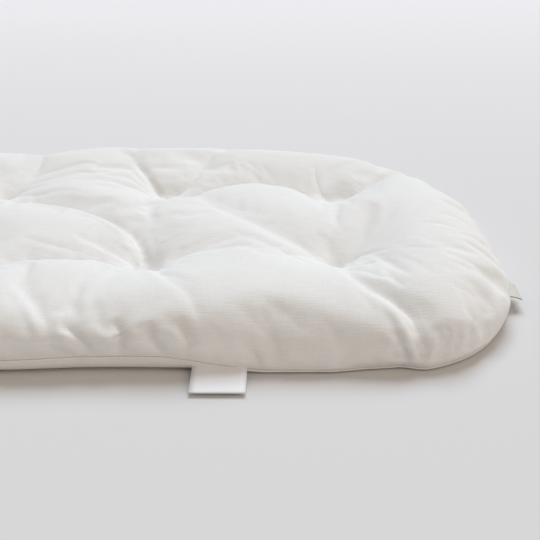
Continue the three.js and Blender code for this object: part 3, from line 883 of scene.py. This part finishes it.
def plainMaterial(name, colour, roughness):
    material = bpy.data.materials.new(name)
    material.use_nodes = True
    shader = material.node_tree.nodes["Principled BSDF"]
    shader.inputs["Base Color"].default_value = (*colour, 1)
    shader.inputs["Roughness"].default_value = roughness
    return material, material.node_tree, shader


def combine(tree, operation, first, second):
    node = addNode(tree, "ShaderNodeMath", operation=operation)
    for socket, value in zip(node.inputs, (first, second)):
        feed(tree, socket, value)
    return node.outputs["Value"]


def mixColours(tree, share, first, second):
    node = addNode(tree, "ShaderNodeMix", {"Factor": share}, data_type="RGBA")
    for socket, value in zip([s for s in node.inputs if s.type == "RGBA"], (first, second)):
        feed(tree, socket, value)
    return [s for s in node.outputs if s.type == "RGBA"][0]


def yarns(tree, place, direction, pitch):
    # ridges of one set of yarns, from 0 between them to 1 on top
    wave = addNode(tree, "ShaderNodeTexWave", {
        "Vector": place, "Scale": math.pi / (10 * pitch), "Distortion": 0.0,
    }, bands_direction=direction)
    return wave.outputs["Fac"]


def streaks(tree, place, length, width, detail, roughness):
    # uneven yarns, long one way and narrow the other
    stretched = addNode(tree, "ShaderNodeMapping", {"Vector": place, "Scale": (1 / length, 1 / width, 1)})
    noise = addNode(tree, "ShaderNodeTexNoise", {
        "Vector": stretched.outputs["Vector"], "Scale": 1.0, "Detail": detail, "Roughness": roughness,
    })
    return noise.outputs["Fac"]


cottonSettings = {
    "colour": (0.874, 0.866, 0.846),
    "roughness": 0.95,
    "sheen": 0.12,
    "sheenRoughness": 0.6,
    "gloss": 0.25,
    "shade": 0.955,           # of the colour, between thick yarns
    "pitch": 0.0005,
    "weaveDepth": 0.00008,
    "weaveBump": 0.6,
    "slub": (0.012, 0.0011, 3.0, 0.55),       # length, width, detail and roughness of thick yarns
    "slubShare": 0.7,
    "crossSlub": (0.0013, 0.010, 2.0, 0.55),
    "crossSlubShare": 0.3,
    "slubRange": (0.38, 0.62),
    "slubDepth": 0.00035,
    "slubBump": 0.8,
    "speckSpacing": 0.045,
    "speckSize": 0.008,       # of the spacing
    "speckColour": (0.42, 0.34, 0.24),
}


def cottonMaterial(name, settings):
    material, tree, shader = plainMaterial(name, settings["colour"], settings["roughness"])
    shader.inputs["Sheen Weight"].default_value = settings["sheen"]
    shader.inputs["Sheen Roughness"].default_value = settings["sheenRoughness"]
    shader.inputs["Specular IOR Level"].default_value = settings["gloss"]
    place = addNode(tree, "ShaderNodeUVMap", uv_map="cloth").outputs["UV"]
    warp, weft = (yarns(tree, place, direction, settings["pitch"]) for direction in ("X", "Y"))
    weave = combine(tree, "MULTIPLY", warp, weft)
    along = combine(tree, "MULTIPLY", streaks(tree, place, *settings["slub"]), settings["slubShare"])
    across = combine(
        tree, "MULTIPLY", streaks(tree, place, *settings["crossSlub"]), settings["crossSlubShare"])
    slubs = combine(tree, "ADD", along, across)
    thickness = addNode(tree, "ShaderNodeMapRange", {
        "Value": slubs, "From Min": settings["slubRange"][0], "From Max": settings["slubRange"][1],
    }).outputs["Result"]
    shade = [channel * settings["shade"] for channel in settings["colour"]]
    tone = mixColours(tree, thickness, (*shade, 1), (*settings["colour"], 1))
    cells = addNode(tree, "ShaderNodeTexVoronoi", {"Vector": place, "Scale": 1 / settings["speckSpacing"]})
    speck = combine(tree, "LESS_THAN", cells.outputs["Distance"], settings["speckSize"])
    specked = mixColours(tree, speck, tone, (*settings["speckColour"], 1))
    tree.links.new(specked, shader.inputs["Base Color"])
    fine = addNode(tree, "ShaderNodeBump", {
        "Height": weave, "Strength": settings["weaveBump"], "Distance": settings["weaveDepth"],
    })
    coarse = addNode(tree, "ShaderNodeBump", {
        "Height": slubs, "Strength": settings["slubBump"], "Distance": settings["slubDepth"],
        "Normal": fine.outputs["Normal"],
    })
    tree.links.new(coarse.outputs["Normal"], shader.inputs["Normal"])
    return material


twineSettings = {
    "colour": (0.80, 0.77, 0.70),
    "roughness": 0.9,
    "fibres": 2600.0,         # to the metre
    "fibreDepth": 0.00005,
    "bump": 0.5,
}


def twineMaterial(name, settings):
    material, tree, shader = plainMaterial(name, settings["colour"], settings["roughness"])
    place = addNode(tree, "ShaderNodeTexCoord").outputs["Object"]
    fibres = addNode(tree, "ShaderNodeTexNoise", {
        "Vector": place, "Scale": settings["fibres"], "Detail": 3.0,
    })
    bump = addNode(tree, "ShaderNodeBump", {
        "Height": fibres.outputs["Fac"], "Strength": settings["bump"], "Distance": settings["fibreDepth"],
    })
    tree.links.new(bump.outputs["Normal"], shader.inputs["Normal"])
    return material


ribbonSettings = {
    "labelColour": (0.90, 0.90, 0.91),
    "tagColour": (0.62, 0.59, 0.52),
    "roughness": 0.6,
    "sheen": 0.1,
    "ribPitch": 0.0005,
    "crossPitch": 0.00025,
    "ribDepth": 0.00005,
    "bump": 0.5,
}


def ribbonMaterial(name, colour, settings):
    material, tree, shader = plainMaterial(name, colour, settings["roughness"])
    shader.inputs["Sheen Weight"].default_value = settings["sheen"]
    place = addNode(tree, "ShaderNodeTexCoord").outputs["Object"]
    ribs = combine(tree, "ADD", yarns(tree, place, "Y", settings["ribPitch"]),
                   yarns(tree, place, "X", settings["crossPitch"]))
    bump = addNode(tree, "ShaderNodeBump", {
        "Height": ribs, "Strength": settings["bump"], "Distance": settings["ribDepth"],
    })
    tree.links.new(bump.outputs["Normal"], shader.inputs["Normal"])
    return material


def dress(piece, material):
    piece.data.materials.clear()
    piece.data.materials.append(material)


cotton = cottonMaterial("washedCotton", cottonSettings)
ribbon = ribbonMaterial("wovenRibbon", ribbonSettings["labelColour"], ribbonSettings)
tagRibbon = ribbonMaterial("tagRibbon", ribbonSettings["tagColour"], ribbonSettings)
twine = twineMaterial("cottonTwine", twineSettings)
dress(topPanel, cotton)
dress(bottomPanel, cotton)
dress(label, ribbon)
for tie in ties:
    dress(tie, twine)
endTag = bpy.data.objects["end_tag"]
for slot in endTag.material_slots:
    slot.material = tagRibbon
print("materials assigned")

# Floor, a little lighter and cooler further back: painted window light from behind the pad
floorSettings = {
    "size": 40,
    "roughness": 0.9,
    "near": (0.700, 0.690, 0.683),
    # painted light: the lighter, cooler tone at the back stands in for the window light
    "back": (0.870, 0.855, 0.868),
    "range": (-0.1, 1.1),     # place in Y where it starts to change and where it ends
}


def buildFloor(settings):
    bpy.ops.object.select_all(action="DESELECT")
    bpy.ops.mesh.primitive_plane_add(size=settings["size"], location=(0, 0, 0))
    floor = bpy.context.object
    floor.name = "floor"
    material, tree, shader = plainMaterial("floorPaintWithPaintedLight", settings["near"], settings["roughness"])
    place = addNode(tree, "ShaderNodeTexCoord").outputs["Object"]
    split = addNode(tree, "ShaderNodeSeparateXYZ", {"Vector": place})
    share = addNode(tree, "ShaderNodeMapRange", {
        "Value": split.outputs["Y"], "From Min": settings["range"][0], "From Max": settings["range"][1],
    }).outputs["Result"]
    # painted light: the floor's colour turns lighter and cooler towards the back
    tone = mixColours(tree, share, (*settings["near"], 1), (*settings["back"], 1))
    tree.links.new(tone, shader.inputs["Base Color"])
    dress(floor, material)


buildFloor(floorSettings)
print("floor laid")

# Warm light all round. The camera sees the same pale tone above the floor as on it
worldSettings = {
    "light": (1.0, 0.88, 0.77),
    "strength": 0.34,
    "backdrop": (0.78, 0.785, 0.82),
    "backdropStrength": 1.0,
}


def buildWorld(settings):
    world = bpy.data.worlds.new("studio")
    scene.world = world
    world.use_nodes = True
    tree = world.node_tree
    light = tree.nodes["Background"]
    light.inputs["Color"].default_value = (*settings["light"], 1)
    light.inputs["Strength"].default_value = settings["strength"]
    backdrop = addNode(tree, "ShaderNodeBackground", {
        "Color": (*settings["backdrop"], 1), "Strength": settings["backdropStrength"],
    })
    seen = addNode(tree, "ShaderNodeLightPath")
    both = addNode(tree, "ShaderNodeMixShader", {"Fac": seen.outputs["Is Camera Ray"]})
    tree.links.new(light.outputs[0], both.inputs[1])
    tree.links.new(backdrop.outputs[0], both.inputs[2])
    tree.links.new(both.outputs[0], tree.nodes["World Output"].inputs["Surface"])


buildWorld(worldSettings)

# Cool window light from behind the pad and warm room light from above the right-hand end
lightSettings = {
    "windowLight": {"turn": (-38, 0, -8), "strength": 2.55, "softness": 38, "colour": (0.79, 0.893, 1.0)},
    "roomLight": {"turn": (35, 50, 0), "strength": 0.66, "softness": 50, "colour": (1.0, 0.89, 0.79)},
}


def addLight(name, settings):
    data = bpy.data.lights.new(name, "SUN")
    data.energy = settings["strength"]
    data.angle = math.radians(settings["softness"])
    data.color = settings["colour"]
    lamp = bpy.data.objects.new(name, data)
    lamp.rotation_euler = [math.radians(angle) for angle in settings["turn"]]
    scene.collection.objects.link(lamp)


for name, settings in lightSettings.items():
    addLight(name, settings)
print("light set")
